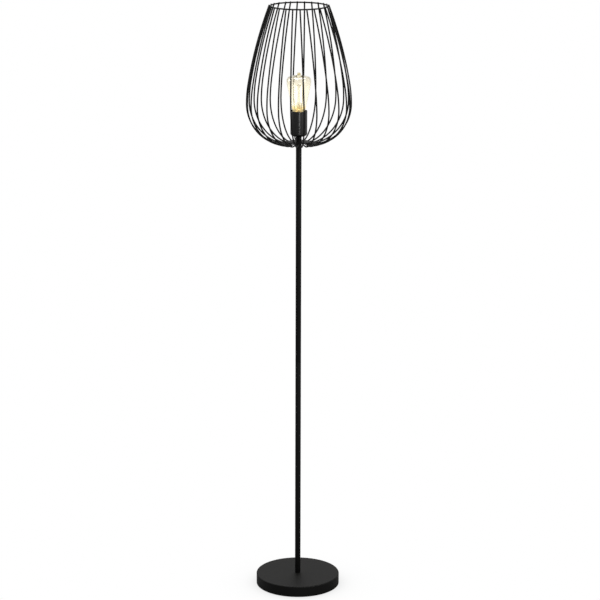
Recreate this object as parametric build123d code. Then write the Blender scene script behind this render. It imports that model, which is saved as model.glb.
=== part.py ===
"""Wire cage floor lamp, one STEP file per piece.

Millimetres, +Z up.  The origin is the middle of the felt pad's underside, where the
lamp stands on the floor, and the lamp's own axis is the Z axis.  Everything is stacked
upwards from there: base, pole, cage hub, lampholder, bulb.
"""
from build123d import *
from math import asin, atan2, cos, degrees, pi, radians, sin, tan
import os

os.makedirs("parts", exist_ok=True)

# ---------------------------------------------------------------- driving dimensions
# Fits
slip_gap = 0.03          # radial play of a threaded or slipped fit
weld_gap = 0.03          # play left between two bars before they are welded
seat_gap = 0.05          # play between two pieces that rest on one another
hole_gap = 0.05          # radial room of a close hole around what it takes
loose_gap = 0.4          # radial room of a plain hole around a threaded tube
past = 1.0               # how far a cut runs past the face that it opens

# Base
base_d = 225.0
base_height = 30.0
cover_sheet = 1.5
cover_edge_r = 2.5
cover_floor_gap = 1.0    # the cover's edge stands this far off the floor
felt_thick = 1.5
felt_inset = 2.5         # felt edge, inside the cover's wall
plate_thick = 2.0
plate_inset = 0.2        # bottom plate's edge, inside the cover's wall
weight_inset = 3.0       # iron weight's edge, inside the cover's wall
weight_thick = 16.0
boss_r = 30.0
recess_r = 22.0          # wiring recess under the boss
boss_top_thick = 5.0
window_gap = 3.0         # room at each side of the terminal block in the weight's window
window_back_gap = 6.0    # and behind it
cord_slot_w = 11.0       # slot in the weight that the supply cord runs in

# Bottom plate screws, countersunk M4
plate_screw_count = 3
plate_screw_ring_r = 80.0
plate_screw_r = 1.95
plate_screw_head_r = 3.6
plate_screw_head_h = 1.8
plate_screw_length = 10.0

# Cord gland, a grooved bush in the back of the cover
gland_z = 11.0
gland_bore_r = 3.2
gland_body_r = 4.45
gland_flange_r = 6.5
gland_flange_thick = 1.6

# Terminal block and the lead inside the pole
block_w = 22.0
block_l = 18.0
block_h = 13.0
block_front_y = 28.0
block_pitch = 10.0
block_bore_r = 1.6
block_screw_r = 1.5
block_screw_inset = 4.5
block_screw_sink = 1.0
lead_r = 2.6
lead_level = 5.5         # lead's middle above the bottom plate, in the base
lead_end_gap = 8.0       # bare cores between the lead's jacket and the block
lead_stand = 1.5         # jacket left above the floor of the lampholder's cavity
core_r = 1.0
core_gap = 0.5           # between the two cores inside the jacket
core_bend_r = 1.2
core_straight = 1.6      # straight run at each end of a core's spread to the block
core_cross_rise = 3.6    # height of the cores' way across the lampholder's cavity
core_reach = 6.5         # how far a core runs into the block

# Threaded tube, M10 by 1, and its nuts
tube_thread_r = 5.0
tube_wall = 1.1
nut_flats = 14.0
nut_h = 4.0
washer_r = 14.0
washer_thick = 1.5
thread_stand = 1.0       # thread left standing past the bottom nut

# Pole
pole_r = 7.5
pole_wall = 1.0
pole_section = 597.3
bushing_l = 14.0
thread_engage = 12.0     # length of threaded tube held in a bushing

# Hub of the cage and the neck above it
hub_r = 29.5
hub_thick = 2.0
neck_h = 11.0

# Cage.  A wire's middle line is flat: from the rim it swells out along the flank and
# the shoulder to the widest place, turns in along the bowl and the lip, and ends in a
# short straight run under the hub.
wire_count = 26
wire_end_gap = 2.3       # room between the wires' ends, round the circle they end on
wire_r = 2.0
ring_wire_r = 2.0
widest_r = 136.6
widest_drop = 255.5      # from the rim down to the widest place
flank_bend_r = 1085.0
shoulder_bend_r = 325.0
shoulder_turn = 9.6
bowl_turn = 77.1
lip_bend_r = 42.0
lip_rise = 10.0          # the last run climbs this many degrees towards the hub
run_outside = 7.8        # straight part of the last run that lies outside the hub
wire_top_stand = 2.0     # the wire stands this far above the rim's middle
weld_flat = 1.0          # depth ground off the wire's end where it lies on the hub
first_wire_turn = -88.1  # place of the first wire, in degrees about the axis
end_turn = 10.0          # a wire's end lies this far further round than its rim point
# Welding by hand leaves the wires uneven at the rim: how far each one's rim point stands
# off and its plane is swung, in degrees.  Their ends are even again under the hub.
rim_slips = (0, -1, 0, 0, 2.5, -0.5, 2.5, 1, 0, -1, 0.5, 1, 1.5,
             1.5, 1, -3, -1.5, -1, -3, 0, 0, 0.5, -0.5, -0.5, 0.5, 0)
rim_swings = (3.5, 5, 5, 6, 5.5, 5.5, 2.5, 8.5, 8.5, 10, 8, 6.5, 6.5,
              3.5, 3.5, 8, 4.5, 2.5, 3, 7.5, 3.5, 2, 2, 3, 2.5, 3)

# Lampholder
cup_wall = 1.0
cup_rise = 8.0           # the cup's edge above the holder body
cup_edge_r = 8.0
body_gap = 1.0           # holder body to cup wall
body_wall = 4.0
body_floor = 7.0
skirt_rise = 10.0        # holder body's edge above the threaded shell
throat_room = 1.1        # radial room of the holder body around the bulb's throat
cavity_r = 13.0
cavity_h = 8.0
core_disc_h = 6.0
core_disc_gap = 0.1
shell_wall = 0.5
shell_h = 27.0
socket_gap = 0.25        # radial play of the bulb's cap in the threaded shell
contact_w = 6.0
contact_rise = 3.0       # top of the centre tongue above the core disc
live_x = -7.5
neutral_inset = 1.15     # from the neutral screw's head to the shell
terminal_r = 1.5
terminal_head_r = 2.2
terminal_head_h = 1.3
terminal_shank = 3.0

# Bulb, E27 cap, pear shape.  Heights are counted from the tip of its cap.
cap_r = 13.1
cap_wall = 0.35
cap_h = 27.0
cap_edge_z = 5.0
cement_gap = 0.35        # radial room between the cap and the neck of the glass
tip_r = 4.5
tip_bevel = 1.35
tip_thick = 1.5
insulator_top_z = 8.0
glass_wall = 1.0
neck_seat = 5.0          # length of glass held inside the cap
neck_rise = 2.5          # straight neck above the cap
neck_bend_r = 3.0
throat_rise = 8.6        # the throat's height above the cap
throat_swell = 1.9       # and its radius beyond the cap's
throat_bend_r = 8.0
glass_r = 32.0
swell_reach = 5.8        # height of each half of the bend from the taper to the side
side_straight = 0.5
dome_bend_r = 9.5
dome_rise = 4.5          # rise of the crown from its edge to the pip
pip_r = 6.0
pip_h = 9.0
pip_top_r = 3.6
pip_edge_r = 2.5
bulb_length = 141.5
stem_r = 3.0
stem_drop = 20.5         # from the crown down to the end of the mount
flare_rise = 24.5        # cone of the mount above the neck
filament_count = 4
filament_turn = 45.0     # place of the first light strip, in degrees about the axis
filament_r = 1.1
filament_ring_r = 9.0
filament_drop = 4.0      # upper end of a strip below the end of the mount
filament_length = 46.0
pin_r = 0.4

# ---------------------------------------------------------------- derived sizes
pole_nodes = ("pole_lower", "pole_upper")
plate_low_z = felt_thick
plate_top_z = plate_low_z + plate_thick
cover_r = base_d / 2
cover_in_r = cover_r - cover_sheet
cover_roof_z = base_height - cover_sheet
weight_top_z = plate_top_z + weight_thick
recess_top_z = cover_roof_z - boss_top_thick
washer_low_z = recess_top_z - washer_thick
base_nut_low_z = washer_low_z - nut_h
bushing_bore_r = tube_thread_r + slip_gap
base_tube_low_z = base_nut_low_z - thread_stand
pole_top_z = base_height + len(pole_nodes) * pole_section
hub_low_z = pole_top_z
hub_top_z = hub_low_z + hub_thick
neck_low_z = hub_top_z + nut_h
cup_low_z = neck_low_z + neck_h
body_low_z = cup_low_z + cup_wall
cavity_low_z = body_low_z + body_floor
disc_low_z = cavity_low_z + cavity_h
disc_top_z = disc_low_z + core_disc_h
body_top_z = disc_top_z + shell_h + skirt_rise
cup_top_z = body_top_z + cup_rise
throat_r = cap_r + throat_swell
body_bore_r = throat_r + throat_room
body_r = body_bore_r + body_wall
cup_in_r = body_r + body_gap
cup_r = cup_in_r + cup_wall
shell_in_r = cap_r + socket_gap
shell_r = shell_in_r + shell_wall
neutral_x = shell_in_r - neutral_inset - terminal_head_r
tongue_top_z = disc_top_z + contact_rise
bulb_z = tongue_top_z + seat_gap
lead_z = plate_top_z + lead_level
core_side = core_r + core_gap / 2


# ---------------------------------------------------------------- helpers
def rod(radius, low, high, x=0.0, y=0.0):
    """A round bar standing between two heights."""
    bar = Cylinder(radius, high - low, align=(Align.CENTER, Align.CENTER, Align.MIN))
    return Pos(x, y, low) * bar


def pipe(outer, inner, low, high):
    """A round tube standing between two heights."""
    return rod(outer, low, high) - rod(inner, low, high)


def block(x0, x1, y0, y1, z0, z1):
    """A box between the given planes."""
    box = Box(x1 - x0, y1 - y0, z1 - z0, align=(Align.MIN, Align.MIN, Align.MIN))
    return Pos(x0, y0, z0) * box


def turned(*points):
    """A solid of revolution about Z from (radius, height) points."""
    outline = Polyline(*[(r, 0, z) for r, z in points], close=True)
    return revolve(make_face(outline), Axis.Z)


def hex_nut(low):
    """An M10 nut, standing on the given height."""
    prism = extrude(RegularPolygon(nut_flats / 2, 6, major_radius=False), nut_h)
    return Pos(0, 0, low) * prism - rod(bushing_bore_r, low, low + nut_h)


def threaded_tube(low, high):
    """A length of M10 threaded tube; its thread is drawn as its outer diameter."""
    return pipe(tube_thread_r, tube_thread_r - tube_wall, low, high)


def round_wire(path, radius):
    """A round wire along a path, square at its ends."""
    start = Plane(origin=path @ 0, z_dir=path % 0)
    return sweep(start * Circle(radius), path)


def save(node, *solids):
    """Write one node, a single solid or a group of separate ones."""
    shape = solids[0] if len(solids) == 1 else Compound(children=list(solids))
    shape.label = node
    export_step(shape, f"parts/{node}.step")


# ---------------------------------------------------------------- base
def base_cover():
    """Deep-drawn steel cover, open below, with a hole for the threaded tube and one
    in the back for the gland."""
    outer = rod(cover_r, cover_floor_gap, base_height)
    outer = fillet(outer.edges().group_by(Axis.Z)[-1], cover_edge_r)
    inner = rod(cover_in_r, cover_floor_gap, cover_roof_z)
    inner = fillet(inner.edges().group_by(Axis.Z)[-1], cover_edge_r - cover_sheet)
    centre_hole = rod(tube_thread_r + loose_gap, cover_roof_z, base_height)
    gland_hole = gland_cylinder(gland_body_r + hole_gap, cover_in_r - past, cover_r + past)
    return outer - inner - centre_hole - gland_hole


def gland_cylinder(radius, y_near, y_far):
    """A bar lying along Y at the gland's height."""
    bar = Cylinder(radius, y_far - y_near, align=(Align.CENTER, Align.CENTER, Align.MIN))
    return Pos(0, y_near, gland_z) * Rot(-90, 0, 0) * bar


def cord_gland():
    """Rubber bush, its groove shaped to the round wall that it grips."""
    near = cover_in_r - gland_flange_thick
    far = cover_r + gland_flange_thick
    bush = gland_cylinder(gland_flange_r, near, far)
    groove = gland_cylinder(gland_flange_r + past, near - past, far + past)
    groove -= gland_cylinder(gland_body_r, near - past, far + past)
    wall = pipe(cover_r + slip_gap, cover_in_r - slip_gap, 0, base_height)
    bore = gland_cylinder(gland_bore_r, near - past, far + past)
    return bush - (groove & wall) - bore


def screw_place(number):
    """Turn and reach of one bottom plate screw, the first one at the front."""
    turn = 360 / plate_screw_count * number - 90
    return Rot(0, 0, turn) * Pos(plate_screw_ring_r, 0, 0)


def plate_screw():
    """Countersunk screw, head down, flush with the bottom plate."""
    head_top = plate_low_z + plate_screw_head_h
    head = turned((0, plate_low_z), (plate_screw_head_r, plate_low_z),
                  (plate_screw_r, head_top), (0, head_top))
    return head + rod(plate_screw_r, head_top, plate_low_z + plate_screw_length)


def screw_sink():
    """Countersink and hole for one bottom plate screw."""
    head_r = plate_screw_head_r + hole_gap
    shank_r = plate_screw_r + hole_gap
    head_top = plate_low_z + plate_screw_head_h
    cone = turned((0, plate_low_z), (head_r, plate_low_z), (shank_r, head_top), (0, head_top))
    return cone + rod(shank_r, head_top, plate_low_z + plate_screw_length + past)


def base_weight():
    """Cast iron disc with a boss up to the cover, a recess for the nut and the lead,
    a window for the terminal block and a slot for the supply cord."""
    weight_r = cover_in_r - weight_inset
    window_x = block_w / 2 + window_gap
    window_y = block_front_y + block_l + window_back_gap
    slot_x = cord_slot_w / 2
    slot_top = gland_z + cord_slot_w / 2
    iron = rod(weight_r, plate_top_z, weight_top_z) + rod(boss_r, plate_top_z, cover_roof_z)
    iron -= rod(recess_r, plate_top_z, recess_top_z)
    iron -= rod(tube_thread_r + loose_gap, recess_top_z, cover_roof_z)
    iron -= block(-window_x, window_x, 0, window_y, plate_top_z, weight_top_z)
    iron -= block(-slot_x, slot_x, 0, cover_r, plate_top_z, slot_top)
    for number in range(plate_screw_count):
        iron -= screw_place(number) * screw_sink()
    return iron


def base_plate():
    """Steel plate that closes the base from below."""
    plate = rod(cover_in_r - plate_inset, plate_low_z, plate_top_z)
    for number in range(plate_screw_count):
        plate -= screw_place(number) * screw_sink()
    return plate


save("felt_pad", rod(cover_in_r - felt_inset, 0, felt_thick))
save("base_plate", base_plate())
save("base_plate_screws", *[screw_place(n) * plate_screw() for n in range(plate_screw_count)])
save("base_weight", base_weight())
save("base_cover", base_cover())
save("cord_gland", cord_gland())


# ---------------------------------------------------------------- wiring in the base
def block_bore(x):
    """The bore of one way of the block, along Y."""
    bar = Cylinder(block_bore_r, block_l, align=(Align.CENTER, Align.CENTER, Align.MIN))
    return Pos(x, block_front_y, lead_z) * Rot(-90, 0, 0) * bar


def block_screw_places():
    """Middle of each of the four clamping screws."""
    front = block_front_y + block_screw_inset
    back = block_front_y + block_l - block_screw_inset
    return [(x, y) for x in (-block_pitch / 2, block_pitch / 2) for y in (front, back)]


block_top_z = plate_top_z + block_h
block_screw_low_z = lead_z + core_r + seat_gap


def terminal_block():
    """Two-way connector block; the supply cord's cores enter it from the back."""
    body = block(-block_w / 2, block_w / 2, block_front_y, block_front_y + block_l,
                 plate_top_z, block_top_z)
    for x in (-block_pitch / 2, block_pitch / 2):
        body -= block_bore(x)
    for x, y in block_screw_places():
        body -= rod(block_screw_r + hole_gap, lead_z, block_top_z, x, y)
    return body


def terminal_block_screw(x, y):
    """One clamping screw, standing on the core below it."""
    return rod(block_screw_r, block_screw_low_z, block_top_z - block_screw_sink, x, y)


save("terminal_block", terminal_block())
save("terminal_block_screws", *[terminal_block_screw(x, y) for x, y in block_screw_places()])


# ---------------------------------------------------------------- pole
def section_low(number):
    """Height of the lower end of one pole section."""
    return base_height + number * pole_section


def pole_tube(number):
    """One steel tube of the pole."""
    low = section_low(number)
    return pipe(pole_r, pole_r - pole_wall, low, low + pole_section)


def pole_bushings():
    """Threaded bushings, one in each end of each section."""
    outer = pole_r - pole_wall - slip_gap
    found = []
    for number in range(len(pole_nodes)):
        low = section_low(number)
        high = low + pole_section
        found.append(pipe(outer, bushing_bore_r, low, low + bushing_l))
        found.append(pipe(outer, bushing_bore_r, high - bushing_l, high))
    return found


pole_joint_z = section_low(1)
top_tube_high_z = cavity_low_z - thread_stand

save("base_nipple", threaded_tube(base_tube_low_z, base_height + thread_engage))
save("base_washer", pipe(washer_r, tube_thread_r + loose_gap, washer_low_z, recess_top_z))
for number, node in enumerate(pole_nodes):
    save(node, pole_tube(number))
save("pole_bushings", *pole_bushings())
save("pole_coupler", threaded_tube(pole_joint_z - thread_engage, pole_joint_z + thread_engage))
save("top_nipple", threaded_tube(pole_top_z - thread_engage, top_tube_high_z))
save("hex_nuts", hex_nut(base_nut_low_z), hex_nut(hub_top_z))

# ---------------------------------------------------------------- hub and neck
save("hub_plate", pipe(hub_r, tube_thread_r + loose_gap, hub_low_z, hub_top_z))
save("neck_spacer", pipe(pole_r, tube_thread_r + loose_gap, neck_low_z, cup_low_z))


# ---------------------------------------------------------------- cage
# The wire's outline, as (radius, drop below the rim) of its arc centres and joints.
shoulder_a = radians(shoulder_turn)
bowl_a = radians(bowl_turn)
rise_a = radians(lip_rise)
shoulder_centre = widest_r - shoulder_bend_r
flank_centre_r = shoulder_centre + (shoulder_bend_r - flank_bend_r) * cos(shoulder_a)
flank_centre_drop = widest_drop - (shoulder_bend_r - flank_bend_r) * sin(shoulder_a)
rim_slope = asin(flank_centre_drop / flank_bend_r)
rim_wire_r = flank_centre_r + flank_bend_r * cos(rim_slope)
wire_end_r = wire_count * (2 * wire_r + wire_end_gap) / (2 * pi)
end_reach = wire_end_r * cos(radians(end_turn))
lip_end_r = hub_r + run_outside
bowl_reach = widest_r - lip_end_r - lip_bend_r * (cos(bowl_a) + sin(rise_a))
bowl_bend_r = bowl_reach / (1 - cos(bowl_a))
lip_centre_drop = widest_drop + (bowl_bend_r - lip_bend_r) * sin(bowl_a)
lip_end_drop = lip_centre_drop + lip_bend_r * cos(rise_a)
end_drop = lip_end_drop - (lip_end_r - end_reach) * tan(rise_a)
rim_ring_r = rim_wire_r - (wire_r + ring_wire_r + weld_gap) / cos(rim_slope)


def wire_lean(swing, onward):
    """Lean of a wire's plane that brings its end the given turn onward round the axis,
    once the plane is swung round the rim point."""
    inward = end_reach - rim_wire_r
    side = tan(onward) * (rim_wire_r + inward * cos(swing)) - inward * sin(swing)
    return asin(side / (cos(swing) + tan(onward) * sin(swing)) / end_drop)


even_lean = wire_lean(0, radians(end_turn))
rim_z = hub_low_z - wire_r + weld_flat + end_drop * cos(even_lean)


def flank_point(drop):
    """Point of the flank arc at a given drop, in the wire's own plane."""
    turn = asin((flank_centre_drop - drop) / flank_bend_r)
    return (flank_centre_r + flank_bend_r * cos(turn) - rim_wire_r, -drop)


def wire_path():
    """Middle line of one wire, in its own plane, from above the rim to the hub."""
    top = flank_point(-wire_top_stand)
    top_slope = asin((flank_centre_drop + wire_top_stand) / flank_bend_r)
    flank_turn = degrees(top_slope) - shoulder_turn
    flank = JernArc(top, (sin(top_slope), -cos(top_slope)), flank_bend_r, -flank_turn)
    shoulder = JernArc(flank @ 1, flank % 1, shoulder_bend_r, -shoulder_turn)
    bowl = JernArc(shoulder @ 1, shoulder % 1, bowl_bend_r, -bowl_turn)
    lip = JernArc(bowl @ 1, bowl % 1, lip_bend_r, -(90 + lip_rise - bowl_turn))
    run = (lip_end_r - end_reach) / cos(rise_a)
    end = Line(lip @ 1, (lip @ 1) + (lip % 1) * run)
    return Wire([flank, shoulder, bowl, lip, end])


def wire_place(number):
    """Place of one wire's rim point, and of the plane that it is bent in."""
    slip = rim_slips[number % len(rim_slips)]
    swing = rim_swings[number % len(rim_swings)]
    lean = degrees(wire_lean(radians(swing), radians(end_turn - slip)))
    turn = first_wire_turn + 360 / wire_count * number + slip
    return Rot(0, 0, turn) * Pos(rim_wire_r, 0, rim_z) * Rot(0, 0, swing) * Rot(lean, 0, 0)


bent_wire = round_wire(Plane.XZ * wire_path(), wire_r)
hub_room = rod(hub_r + wire_r, hub_low_z, hub_top_z + wire_r)
for number in range(wire_count):
    # The inner end of each wire is ground flat where it lies under the hub.
    save(f"cage_wire_{number + 1:02d}", wire_place(number) * bent_wire - hub_room)

save("rim_ring", Pos(0, 0, rim_z) * Torus(rim_ring_r, ring_wire_r))


# ---------------------------------------------------------------- lampholder
def holder_cup():
    """Spun steel cup with a rounded foot, open at the top."""
    outer = rod(cup_r, cup_low_z, cup_top_z)
    outer = fillet(outer.edges().group_by(Axis.Z)[0], cup_edge_r)
    inner = rod(cup_in_r, body_low_z, cup_top_z)
    inner = fillet(inner.edges().group_by(Axis.Z)[0], cup_edge_r - cup_wall)
    return outer - inner - rod(tube_thread_r + loose_gap, cup_low_z, body_low_z)


def holder_body():
    """Moulded body, threaded on the tube, with a wiring cavity under the core disc."""
    foot_r = cup_edge_r - cup_wall
    body = rod(body_r, body_low_z, body_top_z)
    body = fillet(body.edges().group_by(Axis.Z)[0], foot_r)
    body -= rod(bushing_bore_r, body_low_z, cavity_low_z)
    body -= rod(cavity_r, cavity_low_z, disc_low_z)
    return body - rod(body_bore_r, disc_low_z, body_top_z)


def holder_core():
    """Insulating disc that carries the contacts."""
    disc = rod(body_bore_r - core_disc_gap, disc_low_z, disc_top_z)
    for x in (live_x, neutral_x):
        disc -= rod(terminal_r + hole_gap, disc_low_z, disc_top_z, x)
    return disc


def thread_shell():
    """Metal shell that the bulb screws into, with a lug under the neutral screw.
    Its rolled thread is drawn as the bore that the cap turns in."""
    lug_top_z = disc_top_z + shell_wall
    lug_x = neutral_x - terminal_head_r
    shell = pipe(shell_r, shell_in_r, disc_top_z, disc_top_z + shell_h)
    shell += block(lug_x, shell_in_r, -contact_w / 2, contact_w / 2, disc_top_z, lug_top_z)
    return shell - rod(terminal_r + hole_gap, disc_top_z, lug_top_z, neutral_x)


def centre_contact():
    """Bronze tongue from the live terminal, raised under the bulb's tip."""
    foot_x = live_x - terminal_head_r
    bend_x = live_x + terminal_head_r + shell_wall
    rise_x = bend_x + contact_rise
    tip_x = tip_r / 2
    low, high = disc_top_z, tongue_top_z
    side = Polyline((foot_x, 0, low), (bend_x, 0, low), (rise_x, 0, high - shell_wall),
                    (tip_x, 0, high - shell_wall), (tip_x, 0, high),
                    (rise_x - shell_wall, 0, high), (bend_x - shell_wall, 0, low + shell_wall),
                    (foot_x, 0, low + shell_wall), close=True)
    strip = extrude(make_face(side), contact_w / 2, dir=(0, 1, 0), both=True)
    return strip - rod(terminal_r + hole_gap, low, low + shell_wall, live_x)


terminal_head_z = disc_top_z + shell_wall
terminal_low_z = terminal_head_z - terminal_shank


def terminal_screw(x):
    """Terminal screw, its head on the metal that it clamps."""
    shank = rod(terminal_r, terminal_low_z, terminal_head_z, x)
    return shank + rod(terminal_head_r, terminal_head_z, terminal_head_z + terminal_head_h, x)


save("holder_cup", holder_cup())
save("holder_body", holder_body())
save("holder_core", holder_core())
save("thread_shell", thread_shell())
save("centre_contact", centre_contact())
save("holder_terminal_screws", terminal_screw(live_x), terminal_screw(neutral_x))


# ---------------------------------------------------------------- lead inside the pole
lead_top_z = cavity_low_z + lead_stand
lead_bend_r = base_tube_low_z - lead_z
lead_end_y = block_front_y - lead_end_gap
core_top_z = terminal_low_z - seat_gap
core_cross_z = cavity_low_z + core_cross_rise


def inner_lead():
    """Jacketed lead, down the whole pole and round one bend to the terminal block."""
    corner = (0, 0, lead_z)
    path = FilletPolyline((0, 0, lead_top_z), corner, (0, lead_end_y, lead_z), radius=lead_bend_r)
    return round_wire(path, lead_r)


def top_core(side, x):
    """Bare end of one core, up through the cavity to its terminal."""
    path = FilletPolyline((side, 0, lead_top_z), (side, 0, core_cross_z), (x, 0, core_cross_z),
                          (x, 0, core_top_z), radius=core_bend_r)
    return round_wire(path, core_r)


def bottom_core(side, x):
    """Bare end of one core, spread from the jacket to its way in the block."""
    path = FilletPolyline((side, lead_end_y, lead_z), (side, lead_end_y + core_straight, lead_z),
                          (x, block_front_y - core_straight, lead_z),
                          (x, block_front_y + core_reach, lead_z), radius=core_bend_r)
    return round_wire(path, core_r)


save("inner_lead", inner_lead())
save("lead_cores", top_core(-core_side, live_x), top_core(core_side, neutral_x),
     bottom_core(-core_side, -block_pitch / 2), bottom_core(core_side, block_pitch / 2))


# ---------------------------------------------------------------- bulb
neck_r = cap_r - cap_wall - cement_gap
glass_bottom_z = cap_h - neck_seat
neck_top_z = cap_h + neck_rise
throat_z = cap_h + throat_rise
dome_top_z = bulb_length - pip_h
stem_top_z = dome_top_z - stem_drop


def glass_outline(inset):
    """Half outline of the glass, set in by the given wall: neck, throat, taper, side
    and crown, as corners that are rounded to arcs."""
    side_r = glass_r - inset
    crown_z = dome_top_z - inset
    edge_z = crown_z - dome_rise
    dome_turn = pi / 2 - atan2(dome_rise, side_r - pip_r)
    dome_reach = dome_bend_r * tan(dome_turn / 2)
    swell_z = edge_z - dome_reach - side_straight - swell_reach
    swell_turn = atan2(glass_r - throat_r, swell_z - throat_z)
    swell_bend_r = swell_reach / tan(swell_turn / 2)
    return FilletPolyline(
        (neck_r - inset, 0, glass_bottom_z), (neck_r - inset, 0, neck_top_z),
        (throat_r - inset, 0, throat_z), (side_r, 0, swell_z), (side_r, 0, edge_z),
        (pip_r, 0, crown_z), radius=[neck_bend_r, throat_bend_r, swell_bend_r, dome_bend_r])


def glass_solid(inset):
    """The glass's outline turned to a solid, open to its lower end."""
    side = glass_outline(inset)
    low = Line((0, 0, glass_bottom_z), side @ 0)
    across = Line(side @ 1, (0, 0, (side @ 1).Z))
    axis = Line((0, 0, (side @ 1).Z), (0, 0, glass_bottom_z))
    return revolve(make_face(Wire([low, *side.edges(), across, axis])), Axis.Z)


def bulb_glass():
    """Pear-shaped glass with the sealed pip on its crown."""
    pip = turned((0, dome_top_z - glass_wall / 2), (pip_r, dome_top_z - glass_wall / 2),
                 (pip_r, dome_top_z), (pip_top_r, bulb_length), (0, bulb_length))
    pip = fillet(pip.edges().group_by(Axis.Z)[-1], pip_edge_r)
    return Pos(0, 0, bulb_z) * (glass_solid(0) + pip - glass_solid(glass_wall))


def bulb_cap():
    """Screw cap; its rolled thread is drawn as its outer diameter."""
    return Pos(0, 0, bulb_z) * pipe(cap_r, cap_r - cap_wall, cap_edge_z, cap_h)


def bulb_insulator():
    """Black glass cone between the cap and its tip contact."""
    plug_r = cap_r - cap_wall - slip_gap
    cone = turned((0, tip_thick), (tip_r, tip_thick), (plug_r, cap_edge_z),
                  (plug_r, insulator_top_z), (0, insulator_top_z))
    return Pos(0, 0, bulb_z) * cone


def bulb_tip():
    """Tip contact, a low dome of solder."""
    dome = turned((0, 0), (tip_r - tip_bevel, 0), (tip_r, tip_thick), (0, tip_thick))
    return Pos(0, 0, bulb_z) * dome


def bulb_stem():
    """Glass mount: a flare sealed in the neck and the tube that carries the strips."""
    flare_r = neck_r - glass_wall - slip_gap
    flare_top_z = neck_top_z + flare_rise
    stem = turned((0, glass_bottom_z), (flare_r, glass_bottom_z), (flare_r, neck_top_z),
                  (stem_r, flare_top_z), (stem_r, stem_top_z), (0, stem_top_z))
    return Pos(0, 0, bulb_z) * stem


def bulb_filament():
    """One light strip with a pin at each end, bent in to the mount."""
    high = stem_top_z - filament_drop
    low = high - filament_length
    strip = rod(filament_r, low, high, filament_ring_r)
    pin = Cylinder(pin_r, filament_ring_r - stem_r - slip_gap,
                   align=(Align.CENTER, Align.CENTER, Align.MIN))
    for z in (low + pin_r, high - pin_r):
        strip += Pos(stem_r + slip_gap, 0, z) * Rot(0, 90, 0) * pin
    return Pos(0, 0, bulb_z) * strip


def strip_place(number):
    """Turn of one light strip about the bulb's axis."""
    return Rot(0, 0, filament_turn + 360 / filament_count * number)


save("bulb_glass", bulb_glass())
save("bulb_cap", bulb_cap())
save("bulb_insulator", bulb_insulator())
save("bulb_tip", bulb_tip())
save("bulb_stem", bulb_stem())
save("bulb_filaments", *[strip_place(n) * bulb_filament() for n in range(filament_count)])

print(f"rim at {rim_z:.1f}, rim ring radius {rim_ring_r:.2f}, wire radius at rim {rim_wire_r:.2f}")
print(f"bulb tip at {bulb_z:.2f}, cup top at {cup_top_z:.1f}, cup radius {cup_r:.2f}")
print(f"wire ends at {wire_end_r:.2f}, bowl bend {bowl_bend_r:.2f}, lead bend {lead_bend_r:.2f}")
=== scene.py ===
import bmesh
import bpy
from math import asin, atan2, cos, pi, radians, sin, sqrt, tan
from mathutils import Matrix, Vector


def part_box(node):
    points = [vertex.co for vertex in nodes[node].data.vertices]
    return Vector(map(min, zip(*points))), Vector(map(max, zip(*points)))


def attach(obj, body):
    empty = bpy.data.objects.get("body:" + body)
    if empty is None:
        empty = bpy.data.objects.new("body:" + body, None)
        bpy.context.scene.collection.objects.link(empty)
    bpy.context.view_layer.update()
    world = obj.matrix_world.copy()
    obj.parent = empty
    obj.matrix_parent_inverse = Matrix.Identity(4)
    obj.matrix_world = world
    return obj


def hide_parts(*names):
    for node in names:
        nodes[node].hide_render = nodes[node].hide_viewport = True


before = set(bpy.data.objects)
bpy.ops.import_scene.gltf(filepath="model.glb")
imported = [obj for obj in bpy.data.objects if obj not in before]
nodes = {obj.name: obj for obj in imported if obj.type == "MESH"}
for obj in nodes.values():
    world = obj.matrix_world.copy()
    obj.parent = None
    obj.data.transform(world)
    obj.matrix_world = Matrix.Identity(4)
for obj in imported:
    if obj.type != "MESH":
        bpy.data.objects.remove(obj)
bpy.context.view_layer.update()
scene = bpy.context.scene
mm = 0.001


# ---------------------------------------------------------------- camera
# A long lens at a little above the lamp's own height, tipped down at its middle, so that
# the rim, the hub and the base all show as flat ellipses. It is rolled by a hair.
camera_place = (4.36 * mm, -6060 * mm, 2372 * mm)
camera_tip = 14.55
camera_roll = 0.151
lens_mm = 141.36
sensor_mm = 36
far_clip = 100

camera = bpy.data.objects.new("camera", bpy.data.cameras.new("camera"))
aim = Matrix.Rotation(radians(90 - camera_tip), 4, "X") @ Matrix.Rotation(radians(camera_roll), 4, "Z")
camera.matrix_world = Matrix.Translation(camera_place) @ aim
camera.data.lens = lens_mm
camera.data.sensor_width = sensor_mm
camera.data.clip_end = far_clip
scene.collection.objects.link(camera)
scene.camera = camera
scene.view_settings.view_transform = "Standard"


# ---------------------------------------------------------------- studio
# A white paper floor under a white surround. Both are plain white where they are seen or
# show through glass, and light the lamp more dimly than that. Where it is seen, the paper's
# white is darkened round the base as a painted shadow, heavier on one side. In the lamp's
# reflections the paper is painted darker near the lamp and lighter towards one side.
surround_hex = "f4f2f0"
surround_light = 0.45
mirror_share = 0.3
# The paper's mirror share is painted: lower near the lamp as painted shade, higher towards one side as
# painted light.
painted_shade_near_share = 0.03
far_share = 0.5
near_reach = 0.3
far_reach = 8.0
painted_light_side = (0.5, 0.3, 0.0)
shown_hex = "ffffff"
paper_hex = "808080"
paper_size = 80
# A painted shadow: the seen paper's white is darkened by ambient occlusion round the base, tilted so
# that it falls more on one side.
painted_shadow_reach_mm = 120
painted_shadow_depth = 0.35
painted_shadow_tilt = (-0.5, 0.1, 1.0)
painted_shadow_samples = 16


def linear(code, alpha=1.0):
    """An sRGB hex colour as linear red, green, blue and alpha."""
    parts = [int(code[i:i + 2], 16) / 255 for i in (0, 2, 4)]
    return [p / 12.92 if p <= 0.04045 else ((p + 0.055) / 1.055) ** 2.4 for p in parts] + [alpha]


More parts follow.
